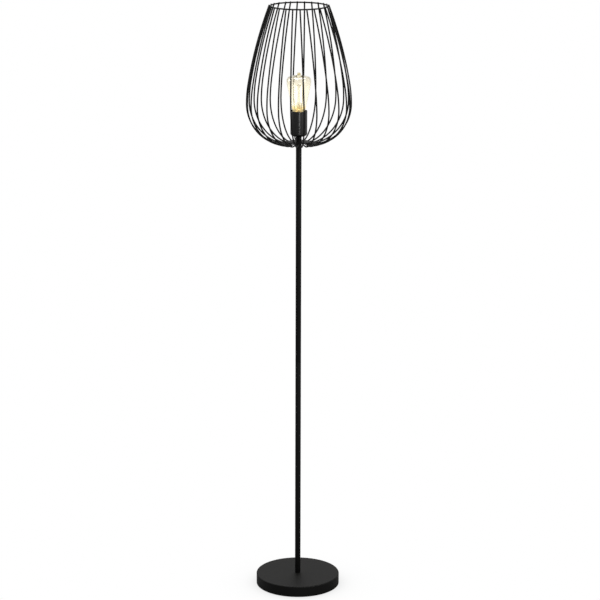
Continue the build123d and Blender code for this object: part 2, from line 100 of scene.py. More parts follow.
def add(tree, kind, inputs=None, **settings):
    """Adds a node. Each input is given a value, or another node's output to link."""
    made = tree.nodes.new(kind)
    for name, value in settings.items():
        setattr(made, name, value)
    for key, value in (inputs or {}).items():
        if isinstance(value, bpy.types.NodeSocket):
            tree.links.new(value, made.inputs[key])
        else:
            made.inputs[key].default_value = value
    return made


def new_material(name):
    """An empty node material and its output node."""
    material = bpy.data.materials.new(name)
    material.use_nodes = True
    material.node_tree.nodes.clear()
    return material, material.node_tree, add(material.node_tree, "ShaderNodeOutputMaterial")


def shown_white(tree, share):
    """1 for a camera or glass ray, the mirror share for a glossy one and 0 for the rest."""
    path = add(tree, "ShaderNodeLightPath")
    mirrored = add(tree, "ShaderNodeMath", {0: path.outputs["Is Glossy Ray"], 1: share},
                   operation="MULTIPLY")
    seen = add(tree, "ShaderNodeMath", {0: path.outputs["Is Camera Ray"],
                                        1: path.outputs["Is Transmission Ray"]},
               operation="MAXIMUM")
    return add(tree, "ShaderNodeMath", {0: seen.outputs[0], 1: mirrored.outputs[0]},
               operation="MAXIMUM").outputs[0]


world = bpy.data.worlds.new("surround")
scene.world = world
world.use_nodes = True
sky = world.node_tree
sky.nodes.clear()
white = add(sky, "ShaderNodeBackground", {"Color": linear(shown_hex), "Strength": 1.0})
dim = add(sky, "ShaderNodeBackground", {"Color": linear(surround_hex), "Strength": surround_light})
both = add(sky, "ShaderNodeMixShader", {0: shown_white(sky, mirror_share), 1: dim.outputs[0],
                                        2: white.outputs[0]})
add(sky, "ShaderNodeOutputWorld", {"Surface": both.outputs[0]})

paper_material, tree, output = new_material("white_paper")
# Painted shadow: the white that the camera sees on the paper is dimmed where ambient occlusion finds
# the lamp near.
shade = add(tree, "ShaderNodeAmbientOcclusion",
            {"Distance": painted_shadow_reach_mm * mm, "Normal": Vector(painted_shadow_tilt).normalized()},
            samples=painted_shadow_samples)
tone = add(tree, "ShaderNodeMapRange", {"Value": shade.outputs["AO"], "To Min": 1 - painted_shadow_depth,
                                        "To Max": 1.0})
glow = add(tree, "ShaderNodeEmission", {"Color": linear(shown_hex),
                                        "Strength": tone.outputs["Result"]})
paper = add(tree, "ShaderNodeBsdfDiffuse", {"Color": linear(paper_hex)})
# Painted shade and light in reflections: glossy rays see less white near the lamp and more towards one
# side.
place = add(tree, "ShaderNodeTexCoord").outputs["Object"]
away = add(tree, "ShaderNodeVectorMath", {0: place}, operation="LENGTH").outputs["Value"]
aside = add(tree, "ShaderNodeVectorMath", {0: place, 1: painted_light_side}, operation="DOT_PRODUCT")
reach = add(tree, "ShaderNodeMath", {0: away, 1: aside.outputs["Value"]}).outputs[0]
share = add(tree, "ShaderNodeMapRange", {"Value": reach, "From Min": near_reach,
                                         "From Max": far_reach, "To Min": painted_shade_near_share,
                                         "To Max": far_share}).outputs["Result"]
both = add(tree, "ShaderNodeMixShader", {0: shown_white(tree, share), 1: paper.outputs[0],
                                         2: glow.outputs[0]})
tree.links.new(both.outputs[0], output.inputs["Surface"])

bpy.ops.mesh.primitive_plane_add(size=paper_size)
floor = bpy.context.object
floor.name = "floor"
floor.data.materials.append(paper_material)

# Softboxes: name, place, place it points at, width, height and power, in metres and watts.
softboxes = [
    ("key", (0.5, -3.0, 0.8), (0, 0, 1.2), 0.2, 0.9, 9),
    ("right", (2.2, -1.5, 2.3), (0, 0, 1.3), 1.2, 1.4, 40),
    ("left_back", (-2.3, 0.9, 2.3), (0, 0, 1.3), 0.9, 1.4, 30),
    ("top", (0, 0.9, 3.2), (0, 0, 0), 1.6, 1.6, 52),
]
for name, place, target, width, height, power in softboxes:
    light = bpy.data.lights.new(name, "AREA")
    light.shape = "RECTANGLE"
    light.size = width
    light.size_y = height
    light.energy = power
    box = bpy.data.objects.new(name, light)
    box.location = place
    box.rotation_euler = (Vector(place) - Vector(target)).to_track_quat("Z", "Y").to_euler()
    scene.collection.objects.link(box)


# ---------------------------------------------------------------- felt pad
# Die-cut wool felt, glued under the base so that it slides without scratching. Short grey
# fibres lie in all directions, so it is matte, soft and a little mottled.
felt_hex = ("3a3a3b", "565657")
felt_fibre_mm = 0.5
felt_clump_mm = 3.0


def dress(material, *names):
    """Gives CAD nodes their finish."""
    for name in names:
        nodes[name].data.materials.clear()
        nodes[name].data.materials.append(material)


def grained(name, colours, grain_mm, rough, bump_mm, soft_mm=0.0, stretch=(1, 1, 1), **shader):
    """A finish whose tone, gloss and height follow a fine grain and a softer, wider swell."""
    material, tree, output = new_material(name)
    place = add(tree, "ShaderNodeTexCoord").outputs["Object"]
    drawn = add(tree, "ShaderNodeMapping", {"Vector": place, "Scale": stretch}).outputs[0]
    grain = add(tree, "ShaderNodeTexNoise", {"Vector": drawn, "Scale": 1 / (grain_mm * mm),
                                             "Detail": 3.0, "Roughness": 0.6})
    swell = add(tree, "ShaderNodeTexNoise", {"Vector": drawn, "Detail": 1.0,
                                             "Scale": 1 / ((soft_mm or 8 * grain_mm) * mm)})
    mixed = add(tree, "ShaderNodeMath", {0: swell.outputs["Fac"], 1: 0.5,
                                         2: grain.outputs["Fac"]}, operation="MULTIPLY_ADD")
    blend = add(tree, "ShaderNodeMapRange", {"Value": mixed.outputs[0], "From Min": 0.5,
                                             "From Max": 1.0})
    tone = add(tree, "ShaderNodeMix", {"Factor": blend.outputs["Result"], "A": linear(colours[0]),
                                       "B": linear(colours[1])}, data_type="RGBA")
    gloss = add(tree, "ShaderNodeMapRange", {"Value": blend.outputs["Result"], "To Min": rough[0],
                                             "To Max": rough[1]})
    relief = add(tree, "ShaderNodeBump", {"Height": mixed.outputs[0], "Strength": 0.6,
                                          "Distance": bump_mm * mm})
    coat = add(tree, "ShaderNodeBsdfPrincipled", {
        "Base Color": tone.outputs["Result"], "Roughness": gloss.outputs["Result"],
        "Normal": relief.outputs["Normal"], **shader})
    tree.links.new(coat.outputs[0], output.inputs["Surface"])
    return material


felt = grained("wool_felt", felt_hex, felt_fibre_mm, (0.9, 1.0), 0.25, felt_clump_mm,
               **{"Sheen Weight": 0.4, "Sheen Roughness": 0.5, "Specular IOR Level": 0.1})
dress(felt, "felt_pad")


# ---------------------------------------------------------------- zinc-plated steel inside
# The bottom plate and its screws, the threaded tubes that run up through the joints, the
# bushings in the pole and the washer: mild steel, turned or stamped, bright zinc plated.
zinc_hex = ("9a9c9f", "c3c6ca")
zinc_spangle_mm = 1.2

zinc = grained("zinc_plated_steel", zinc_hex, zinc_spangle_mm, (0.28, 0.45), 0.01, 9.0,
               Metallic=1.0)
dress(zinc, "base_plate", "base_plate_screws", "base_nipple", "base_washer", "pole_bushings",
      "pole_coupler", "top_nipple", "terminal_block_screws", "holder_terminal_screws")


# ---------------------------------------------------------------- iron weight
# Grey iron, cast in sand and left as it came out of the mould: a dark, pitted skin with
# coarse sand grain, which keeps the tall lamp standing.
iron_hex = ("2c2a29", "4b4846")
sand_grain_mm = 0.8

iron = grained("sand_cast_iron", iron_hex, sand_grain_mm, (0.55, 0.8), 0.35, 7.0, Metallic=0.6)
dress(iron, "base_weight")


# ---------------------------------------------------------------- cord gland
# A grooved bush of black rubber, pressed into the hole in the back of the cover. Moulded,
# so it is smooth, dull and a little dusty.
rubber_hex = ("141414", "1f1f1e")
rubber_grain_mm = 0.4

rubber = grained("moulded_rubber", rubber_hex, rubber_grain_mm, (0.6, 0.78), 0.02, 5.0)
dress(rubber, "cord_gland")


# ---------------------------------------------------------------- wiring in the base
# A two-way connector of natural nylon, the grey jacket of the lead that runs up the pole,
# and its two cores, one brown and one blue.
nylon_hex = ("cfcbbd", "e2dfd4")
jacket_hex = ("2b2b2c", "3a3a3b")
brown_hex = "5a2f17"
blue_hex = "1f4f9c"
plastic_grain_mm = 0.3

nylon = grained("moulded_nylon", nylon_hex, plastic_grain_mm, (0.32, 0.45), 0.01, 6.0,
                **{"Subsurface Weight": 0.15, "Subsurface Scale": 0.002})
dress(nylon, "terminal_block")
jacket = grained("pvc_jacket", jacket_hex, plastic_grain_mm, (0.38, 0.5), 0.01, 4.0)
dress(jacket, "inner_lead")

cores, tree, output = new_material("pvc_cores")
place = add(tree, "ShaderNodeTexCoord").outputs["Object"]
side = add(tree, "ShaderNodeSeparateXYZ", {0: place})
blue = add(tree, "ShaderNodeMath", {0: side.outputs["X"], 1: 0.0}, operation="GREATER_THAN")
tone = add(tree, "ShaderNodeMix", {"Factor": blue.outputs[0], "A": linear(brown_hex),
                                   "B": linear(blue_hex)}, data_type="RGBA")
grain = add(tree, "ShaderNodeTexNoise", {"Vector": place, "Scale": 1 / (plastic_grain_mm * mm)})
gloss = add(tree, "ShaderNodeMapRange", {"Value": grain.outputs["Fac"], "To Min": 0.32,
                                         "To Max": 0.46})
coat = add(tree, "ShaderNodeBsdfPrincipled", {"Base Color": tone.outputs["Result"],
                                              "Roughness": gloss.outputs["Result"]})
tree.links.new(coat.outputs[0], output.inputs["Surface"])
dress(cores, "lead_cores")


# ---------------------------------------------------------------- base cover
# A round cover drawn from 1.5 mm sheet steel and powder coated. The coat is polyester,
# sprayed on and baked: a faint orange peel with a fine matte grain in it, deep black.
powder_hex = ("060606", "0d0d0c")
powder_peel_mm = 1.4
powder_grain_mm = 0.28
powder_level = 0.16

powder_coat = grained("matte_powder_coat", powder_hex, powder_grain_mm, (0.46, 0.6), 0.012,
                      powder_peel_mm, **{"Specular IOR Level": powder_level})
dress(powder_coat, "base_cover")


# ---------------------------------------------------------------- pole
# Two lengths of 15 mm steel tube, screwed end to end so that the lamp packs into a short
# box. Each end is faced and broken by hand, so the joint shows only as a hairline.
pole_r = 7.5
pole_wall = 1.0
pole_break = 0.25
steel_steps = 96


def rounded(corners, steps=6):
    """A closed outline of (radius, height, fillet) corners, each fillet drawn as an arc."""
    outline = []
    for number, (r, z, fillet) in enumerate(corners):
        corner = Vector((r, z))
        if not fillet:
            outline.append(corner)
            continue
        back = (Vector(corners[number - 1][:2]) - corner).normalized()
        onward = (Vector(corners[(number + 1) % len(corners)][:2]) - corner).normalized()
        half = back.angle(onward) / 2
        centre = corner + (back + onward).normalized() * fillet / sin(half)
        start = corner + back * fillet / tan(half) - centre
        sweep = (pi - 2 * half) * (-1 if back.cross(onward) > 0 else 1)
        outline += [centre + Matrix.Rotation(sweep * k / steps, 2) @ start
                    for k in range(steps + 1)]
    return [tuple(point) for point in outline]


def lathe(outline, steps):
    """Vertices and faces of a closed (radius, height) outline turned about the lamp's axis."""
    points, rings, faces = [], [], []
    for r, z in outline:
        count = steps if r > 1e-6 else 1
        rings.append([len(points) + k for k in range(count)])
        points += [(r * cos(2 * pi * k / steps), r * sin(2 * pi * k / steps), z)
                   for k in range(count)]
    for low, high in zip(rings, rings[1:] + rings[:1]):
        for k in range(steps if len(low) + len(high) > 2 else 0):
            n = (k + 1) % steps
            face = [low[k % len(low)], high[k % len(high)], high[n % len(high)], low[n % len(low)]]
            faces.append(tuple(dict.fromkeys(face)))
    return points, faces


def piece(name, shapes, material, body, slot, *replaced, crease=32):
    """One piece made of closed shapes in mm, shaded smooth except at its sharp edges."""
    points, faces = [], []
    for some_points, some_faces in shapes:
        first = len(points)
        points += [tuple(c * mm for c in point) for point in some_points]
        faces += [tuple(first + k for k in face) for face in some_faces]
    mesh = bpy.data.meshes.new(name)
    mesh.from_pydata(points, [], faces)
    work = bmesh.new()
    work.from_mesh(mesh)
    bmesh.ops.recalc_face_normals(work, faces=work.faces)
    work.to_mesh(mesh)
    work.free()
    return settle(name, mesh, material, body, slot, *replaced, crease=crease)


def settle(name, mesh, material, body, slot, *replaced, crease=32):
    """Puts a finished mesh in the scene as a piece that rides on a body."""
    mesh.shade_smooth()
    mesh.set_sharp_from_angle(angle=radians(crease))
    mesh.materials.clear()
    mesh.materials.append(material)
    made = bpy.data.objects.new(name, mesh)
    scene.collection.objects.link(made)
    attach(made, body)
    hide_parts(*replaced)
    return made


def level(node, top=False):
    """Height of a CAD node's lower or upper end, in mm."""
    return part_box(node)[1 if top else 0].z / mm


def tube(outer, inner, low, high, edge, steps):
    """A standing tube with its four edges rounded."""
    corners = [(inner, low, edge), (outer, low, edge), (outer, high, edge), (inner, high, edge)]
    return lathe(rounded(corners, 3), steps)


for node in ("pole_lower", "pole_upper"):
    shape = tube(pole_r, pole_r - pole_wall, level(node), level(node, True), pole_break,
                 steel_steps)
    piece(node.replace("pole", "pole_tube"), [shape], powder_coat, "lamp", "black_powder_coat",
          node)


# ---------------------------------------------------------------- hub, nuts and neck
# The hub is a stamped steel washer that the cage wires are welded under. A hexagon nut
# holds it down on the pole, and a short turned spacer lifts the lampholder clear of it.
hub_r = 29.5
hub_bore_r = 5.4
hub_edge = 0.4
hub_steps = 128
nut_flats = 14.0
nut_bore_r = 5.03
nut_bevel = radians(30)
nut_face_share = 0.97
nut_steps = 96
neck_edge = 0.5


def hex_nut(low, high):
    """A nut with its corners turned off at 30 degrees, so that each flat ends in a curve."""
    face_r = nut_flats / 2 * nut_face_share
    rows = []
    for side, level_z in ((1, low), (-1, high)):
        row_in, row_face, row_flat = [], [], []
        for k in range(nut_steps):
            turn = 2 * pi * k / nut_steps
            flat_r = nut_flats / 2 / cos((turn + pi / 6) % (pi / 3) - pi / 6)
            cut = (flat_r - face_r) * tan(nut_bevel)
            for row, r, z in ((row_in, nut_bore_r, level_z), (row_face, face_r, level_z),
                              (row_flat, flat_r, level_z + side * cut)):
                row.append((r * cos(turn), r * sin(turn), z))
        rows.append([row_in, row_face, row_flat])
    order = rows[0] + rows[1][::-1]
    points = [point for row in order for point in row]
    faces = []
    for j in range(len(order)):
        for k in range(nut_steps):
            n = (k + 1) % nut_steps
            a, b = j * nut_steps, (j + 1) % len(order) * nut_steps
            faces.append((a + k, b + k, b + n, a + n))
    return points, faces


hub_low = level("hub_plate")
hub_high = level("hub_plate", True)
piece("hub", [tube(hub_r, hub_bore_r, hub_low, hub_high, hub_edge, hub_steps)], powder_coat,
      "lamp", "black_powder_coat", "hub_plate")
neck_low = level("neck_spacer")
neck_high = level("neck_spacer", True)
piece("neck", [tube(pole_r, hub_bore_r, neck_low, neck_high, neck_edge, steel_steps)],
      powder_coat, "lamp", "black_powder_coat", "neck_spacer")
base_nut_low = level("hex_nuts")
hub_nut_high = level("hex_nuts", True)
nut_h = neck_low - hub_high
piece("nuts", [hex_nut(base_nut_low, base_nut_low + nut_h), hex_nut(hub_high, hub_nut_high)],
      powder_coat, "lamp", "black_powder_coat", "hex_nuts", crease=20)


# ---------------------------------------------------------------- cage
# Round mild steel wires, bent alike on a jig, each spot welded to the rim ring outside it
# and under the hub, then powder coated together. Hand welding leaves the spacing uneven.
wire_count = 26
wire_r = 2.0
ring_wire_r = 2.0
weld_gap = 0.03
widest_r = 136.6
widest_drop = 255.5
flank_bend_r = 1085.0
shoulder_bend_r = 325.0
shoulder_turn = radians(9.6)
bowl_turn = radians(77.1)
lip_bend_r = 42.0
lip_rise = radians(10.0)
run_outside = 7.8
wire_end_gap = 2.3
wire_top_stand = 2.0
first_wire_turn = -88.1
end_turn = radians(10.0)
# How far each wire slipped round the rim as it was welded, and how far its plane swings off
# the lamp's axis there, in degrees. Under the hub the wires' ends are evenly spaced again.
rim_slips = (0, -1, 0, 0, 2.5, -0.5, 2.5, 1, 0, -1, 0.5, 1, 1.5,
             1.5, 1, -3, -1.5, -1, -3, 0, 0, 0.5, -0.5, -0.5, 0.5, 0)
rim_swings = (3.5, 5, 5, 6, 5.5, 5.5, 2.5, 8.5, 8.5, 10, 8, 6.5, 6.5,
              3.5, 3.5, 8, 4.5, 2.5, 3, 7.5, 3.5, 2, 2, 3, 2.5, 3)
flank_steps = 24
shoulder_steps = 8
bowl_steps = 24
lip_steps = 10
wire_sides = 14
ring_sides = 18
ring_steps = 160
wire_end_round = 0.6
wire_tip_share = 0.6
rim_bead_r = 1.65
hub_bead_r = 1.4
hub_bead_in = 1.0
hub_bead_drop = 0.5
bead_least = (0.8, 0.9, 0.9)
bead_most = (1.1, 1.5, 1.3)

wire_end_r = wire_count * (2 * wire_r + wire_end_gap) / (2 * pi)
end_reach = wire_end_r * cos(end_turn)
shoulder_centre = widest_r - shoulder_bend_r
flank_centre_r = shoulder_centre + (shoulder_bend_r - flank_bend_r) * cos(shoulder_turn)
flank_centre_drop = widest_drop - (shoulder_bend_r - flank_bend_r) * sin(shoulder_turn)
rim_slope = asin(flank_centre_drop / flank_bend_r)
rim_wire_r = flank_centre_r + flank_bend_r * cos(rim_slope)
lip_end_r = hub_r + run_outside
bowl_reach = widest_r - lip_end_r - lip_bend_r * (cos(bowl_turn) + sin(lip_rise))
bowl_bend_r = bowl_reach / (1 - cos(bowl_turn))
bowl_centre = widest_r - bowl_bend_r
lip_centre_r = bowl_centre + (bowl_bend_r - lip_bend_r) * cos(bowl_turn)
lip_centre_drop = widest_drop + (bowl_bend_r - lip_bend_r) * sin(bowl_turn)
end_drop = lip_centre_drop + lip_bend_r * cos(lip_rise) - (lip_end_r - end_reach) * tan(lip_rise)
rim_z = (level("rim_ring") + level("rim_ring", True)) / 2
rim_ring_r = rim_wire_r - (wire_r + ring_wire_r + weld_gap) / cos(rim_slope)


def arc(centre_r, centre_drop, bend_r, start, end, steps):
    """Points of one bend, from the rim's side to the hub's."""
    return [(centre_r + bend_r * cos(start + (end - start) * k / steps),
             centre_drop - bend_r * sin(start + (end - start) * k / steps))
            for k in range(steps + 1)]


top_slope = asin((flank_centre_drop + wire_top_stand) / flank_bend_r)
bends = [arc(flank_centre_r, flank_centre_drop, flank_bend_r, top_slope, shoulder_turn,
             flank_steps),
         arc(shoulder_centre, widest_drop, shoulder_bend_r, shoulder_turn, 0, shoulder_steps),
         arc(bowl_centre, widest_drop, bowl_bend_r, 0, -bowl_turn, bowl_steps),
         arc(lip_centre_r, lip_centre_drop, lip_bend_r, -bowl_turn, -pi / 2 - lip_rise,
             lip_steps)]
line = bends[0] + [point for bend in bends[1:] for point in bend[1:]]
line.append((end_reach, end_drop))


def end_share(distance):
    """The wire's radius near its rounded ends, as a share of the full one."""
    inside = min(distance / wire_end_round, 1)
    return wire_tip_share + (1 - wire_tip_share) * sqrt(1 - (1 - inside) ** 2)


def wire_line():
    """The middle line of one wire as a curve, its rim point at the origin."""
    spots = [Vector((r - rim_wire_r, 0, -drop)) for r, drop in line]
    for index, step in ((0, 1), (len(spots) - 1, -1)):
        onward = (spots[index + step] - spots[index]).normalized()
        extra = [spots[index] + onward * wire_end_round * share for share in (0.15, 0.5, 1.0)]
        spots[index + (step > 0):index + (step > 0)] = extra[::step]
    curve = bpy.data.curves.new("wire_line", "CURVE")
    curve.dimensions = "3D"
    spline = curve.splines.new("POLY")
    spline.points.add(len(spots) - 1)
    for index, (spot, point) in enumerate(zip(spots, spline.points)):
        near = min((spot - spots[0]).length, (spot - spots[-1]).length)
        point.co = (*(spot * mm), 1)
        point.radius = end_share(near)
    made = bpy.data.objects.new("wire_line", curve)
    scene.collection.objects.link(made)
    return made


def seeds(name, places, turns):
    """A mesh of bare points, each with the turn that is given to the thing put there."""
    mesh = bpy.data.meshes.new(name)
    mesh.from_pydata([tuple(c * mm for c in place) for place in places], [], [])
    mesh.attributes.new("swing", "FLOAT_VECTOR", "POINT")
    for point, turn in zip(mesh.attributes["swing"].data, turns):
        point.vector = turn
    made = bpy.data.objects.new(name, mesh)
    scene.collection.objects.link(made)
    return made


def new_tree(name, sizes):
    """A geometry tree with a socket for each named size, and its input node."""
    tree = bpy.data.node_groups.new(name, "GeometryNodeTree")
    tree.interface.new_socket("Geometry", in_out="OUTPUT", socket_type="NodeSocketGeometry")
    tree.interface.new_socket("Geometry", in_out="INPUT", socket_type="NodeSocketGeometry")
    for size, kind in sizes.items():
        tree.interface.new_socket(size, in_out="INPUT", socket_type=kind)
    return tree, add(tree, "NodeGroupInput")


def end_tree(tree, start, shape):
    """Realizes what a tree has made and gives it its finish."""
    plain = add(tree, "GeometryNodeRealizeInstances", {"Geometry": shape})
    finished = add(tree, "GeometryNodeSetMaterial", {"Geometry": plain.outputs[0],
                                                     "Material": start.outputs["Finish"]})
    add(tree, "NodeGroupOutput", {0: finished.outputs[0]})


def grown(tree, seed, **values):
    """Runs a tree on an object and returns the plain mesh that it makes."""
    modifier = seed.modifiers.new(tree.name, "NODES")
    modifier.node_group = tree
    for item in tree.interface.items_tree:
        if item.in_out == "INPUT" and item.name in values:
            modifier[item.identifier] = values[item.name]
    view = bpy.context.evaluated_depsgraph_get()
    mesh = bpy.data.meshes.new_from_object(seed.evaluated_get(view))
    seed.modifiers.remove(modifier)
    bpy.data.objects.remove(seed)
    return mesh


tree, start = new_tree("bent_wires", {"Line": "NodeSocketObject", "Radius": "NodeSocketFloat",
                                      "Sides": "NodeSocketInt", "Ground": "NodeSocketFloat",
                                      "Reach": "NodeSocketFloat", "Finish": "NodeSocketMaterial"})
source = add(tree, "GeometryNodeObjectInfo", {"Object": start.outputs["Line"]})
section = add(tree, "GeometryNodeCurvePrimitiveCircle", {"Resolution": start.outputs["Sides"],
                                                         "Radius": start.outputs["Radius"]})
thickness = add(tree, "GeometryNodeInputRadius").outputs[0]
one_wire = add(tree, "GeometryNodeCurveToMesh", {
    "Curve": source.outputs["Geometry"], "Profile Curve": section.outputs[0],
    "Scale": thickness, "Fill Caps": True})
swing = add(tree, "GeometryNodeInputNamedAttribute", {"Name": "swing"}, data_type="FLOAT_VECTOR")
placed = add(tree, "GeometryNodeInstanceOnPoints", {"Points": start.outputs["Geometry"],
                                                    "Instance": one_wire.outputs[0],
                                                    "Rotation": swing.outputs[0]})
whole = add(tree, "GeometryNodeRealizeInstances", {"Geometry": placed.outputs[0]})
spot = add(tree, "ShaderNodeSeparateXYZ", {0: add(tree, "GeometryNodeInputPosition").outputs[0]})
cut_z = add(tree, "ShaderNodeMath", {0: spot.outputs["Z"], 1: start.outputs["Ground"]},
            operation="MINIMUM")
flat = add(tree, "ShaderNodeCombineXYZ", {"X": spot.outputs["X"], "Y": spot.outputs["Y"],
                                          "Z": cut_z.outputs[0]})
out = add(tree, "ShaderNodeCombineXYZ", {"X": spot.outputs["X"], "Y": spot.outputs["Y"]})
away = add(tree, "ShaderNodeVectorMath", {0: out.outputs[0]}, operation="LENGTH")
under = add(tree, "FunctionNodeCompare", {"A": away.outputs["Value"],
                                          "B": start.outputs["Reach"]},
            data_type="FLOAT", operation="LESS_THAN")
ground = add(tree, "GeometryNodeSetPosition", {"Geometry": whole.outputs[0],
                                               "Selection": under.outputs[0],
                                               "Position": flat.outputs[0]})
end_tree(tree, start, ground.outputs[0])


def wire_lean(swing, onward):
    """Lean of a wire's plane that brings its end the given turn onward round the axis,
    once the plane is swung round the rim point."""
    inward = end_reach - rim_wire_r
    side = tan(onward) * (rim_wire_r + inward * cos(swing)) - inward * sin(swing)
    return asin(side / (cos(swing) + tan(onward) * sin(swing)) / end_drop)


turns = [radians(first_wire_turn + 360 / wire_count * n + slip) for n, slip in enumerate(rim_slips)]
planes = [radians(swing) for swing in rim_swings]
leans = [wire_lean(plane, end_turn - radians(slip)) for plane, slip in zip(planes, rim_slips)]
places = [(rim_wire_r * cos(turn), rim_wire_r * sin(turn), rim_z) for turn in turns]
swings = [(lean, 0, turn + plane) for lean, turn, plane in zip(leans, turns, planes)]
wire_nodes = [f"cage_wire_{n + 1:02d}" for n in range(wire_count)]
one_line = wire_line()
mesh = grown(tree, seeds("wire_places", places, swings), Line=one_line, Radius=wire_r * mm,
             Sides=wire_sides, Ground=hub_low * mm, Reach=(hub_r + wire_r) * mm,
             Finish=powder_coat)
bpy.data.objects.remove(one_line)
settle("cage_wires", mesh, powder_coat, "lamp", "black_powder_coat", *wire_nodes)

ring_outline = [(rim_ring_r + ring_wire_r * cos(2 * pi * k / ring_sides),
                 rim_z + ring_wire_r * sin(2 * pi * k / ring_sides)) for k in range(ring_sides)]
piece("rim", [lathe(ring_outline, ring_steps)], powder_coat, "lamp", "black_powder_coat",
      "rim_ring", crease=60)

tree, start = new_tree("weld_beads", {"Radius": "NodeSocketFloat", "Seed": "NodeSocketInt",
                                      "Finish": "NodeSocketMaterial"})
drop = add(tree, "GeometryNodeMeshIcoSphere", {"Radius": start.outputs["Radius"],
                                               "Subdivisions": 2})
size = add(tree, "FunctionNodeRandomValue", {0: bead_least, 1: bead_most,
                                             "Seed": start.outputs["Seed"]},
           data_type="FLOAT_VECTOR")
swing = add(tree, "GeometryNodeInputNamedAttribute", {"Name": "swing"}, data_type="FLOAT_VECTOR")
placed = add(tree, "GeometryNodeInstanceOnPoints", {
    "Points": start.outputs["Geometry"], "Instance": drop.outputs["Mesh"],
    "Rotation": swing.outputs[0], "Scale": size.outputs[0]})
end_tree(tree, start, placed.outputs[0])
touch_r = (rim_ring_r + rim_wire_r) / 2
touches = [(touch_r * cos(turn), touch_r * sin(turn), rim_z) for turn in turns]
mesh = grown(tree, seeds("rim_welds", touches, [(0, 0, turn) for turn in turns]),
             Radius=rim_bead_r * mm, Seed=3, Finish=powder_coat)
settle("rim_welds", mesh, powder_coat, "lamp", "black_powder_coat", crease=80)

hub_touch_r = hub_r - hub_bead_in
onward = asin(wire_end_r * sin(end_turn) / hub_touch_r)
touches = []
for n in range(wire_count):
    turn = radians(first_wire_turn + 360 / wire_count * n) + onward
    touches.append((hub_touch_r * cos(turn), hub_touch_r * sin(turn), hub_low - hub_bead_drop))
mesh = grown(tree, seeds("hub_welds", touches, swings), Radius=hub_bead_r * mm, Seed=7,
             Finish=powder_coat)
settle("hub_welds", mesh, powder_coat, "lamp", "black_powder_coat", crease=80)


# ---------------------------------------------------------------- lampholder
# A deep cup spun from sheet steel, its coat smoother and shinier than the rest, hides the
# holder: a moulded phenolic body, a white steatite disc with the contacts, a brass shell.
cup_r = 22.1
cup_wall = 1.0
cup_foot = 8.0
cup_lip = 0.45
cup_bore_edge = 0.2
cup_steps = 144
satin_level = 0.6
phenolic_hex = ("120f0e", "1d1917")
steatite_hex = ("dedad0", "efece4")
brass_hex = ("b08a45", "d9b56c")
bronze_hex = ("9a6a3c", "bd8854")
moulding_grain_mm = 0.5
spun_mm = 0.25

cup_low = level("holder_cup")
cup_high = level("holder_cup", True)
cup_in_r = cup_r - cup_wall
cup_floor = cup_low + cup_wall
corners = [(hub_bore_r, cup_low, cup_bore_edge), (cup_r, cup_low, cup_foot),
           (cup_r, cup_high, cup_lip), (cup_in_r, cup_high, cup_lip),
           (cup_in_r, cup_floor, cup_foot - cup_wall), (hub_bore_r, cup_floor, cup_bore_edge)]
satin_coat = grained("satin_powder_coat", powder_hex, powder_grain_mm, (0.27, 0.33), 0.008,
                     powder_peel_mm, **{"Specular IOR Level": satin_level})
piece("cup", [lathe(rounded(corners, 12), cup_steps)], satin_coat, "lamp", "black_powder_coat",
      "holder_cup")

phenolic = grained("moulded_phenolic", phenolic_hex, moulding_grain_mm, (0.25, 0.4), 0.01, 7.0)
dress(phenolic, "holder_body")
steatite = grained("fired_steatite", steatite_hex, moulding_grain_mm, (0.45, 0.65), 0.03, 4.0)
dress(steatite, "holder_core")
bronze = grained("phosphor_bronze", bronze_hex, spun_mm, (0.25, 0.4), 0.01, 5.0, Metallic=1.0)
dress(bronze, "centre_contact")
brass = grained("rolled_brass", brass_hex, spun_mm, (0.2, 0.36), 0.01, 6.0, (1, 1, 12),
                Metallic=1.0)


# ---------------------------------------------------------------- bulb glass
# A pear-shaped bulb of clear glass, blown in one and sealed with a pip on its crown. A warm
# tint deepens to tan in the thick pip. Gold painted low in the neck stands in for the strips'
# warm light and the brass cap's reflection, and a painted glow, dimmer at the crown, stands
# in for the lit strips' light in the glass.
glass_hex = "edeae1"
# Painted light: a gold band low in the neck stands in for the strips' warm light and the brass cap's
# reflection.
painted_gold_hex = "ecdcae"
glass_pip_hex = "cbbf98"
# A painted glow on the glass, standing in for the strips' light scattered in it, dimmer towards the
# crown.
painted_glow_hex = ("fff6d2", "8f8668")
painted_glass_glow = 0.13
painted_gold_low = 52.5
painted_gold_high = 55.0
crown_low = 96.0
crown_high = 126.0
glass_rough = 0.02
glass_ior = 1.5
blown_ripple_mm = 9.0
ripple_height_mm = 0.05
ripple_strength = 0.3

# Heights are counted from the tip of the cap.
bulb_z = level("bulb_tip")
neck_out_r = 12.4
glass_low = 22.0
glass_foot_edge = 0.4
neck_high_h = 29.5
neck_bend_r = 3.0
throat_r = 15.0
throat_h = 35.6
throat_bend_r = 8.0
glass_r = 32.0
glass_wall = 1.0
dome_edge_h = 128.0
dome_bend_r = 10.0
dome_mid_r = 20.0
dome_mid_h = 132.0
dome_arc_r = 50.0
dome_h = 134.0
swell_reach = 5.8
side_straight = 0.5
pip_r = 6.0
pip_top_r = 3.6
pip_edge_r = 2.5
pip_foot_r = 2.5
pip_blend = 1.5
bulb_length = 141.5
glass_steps = 144


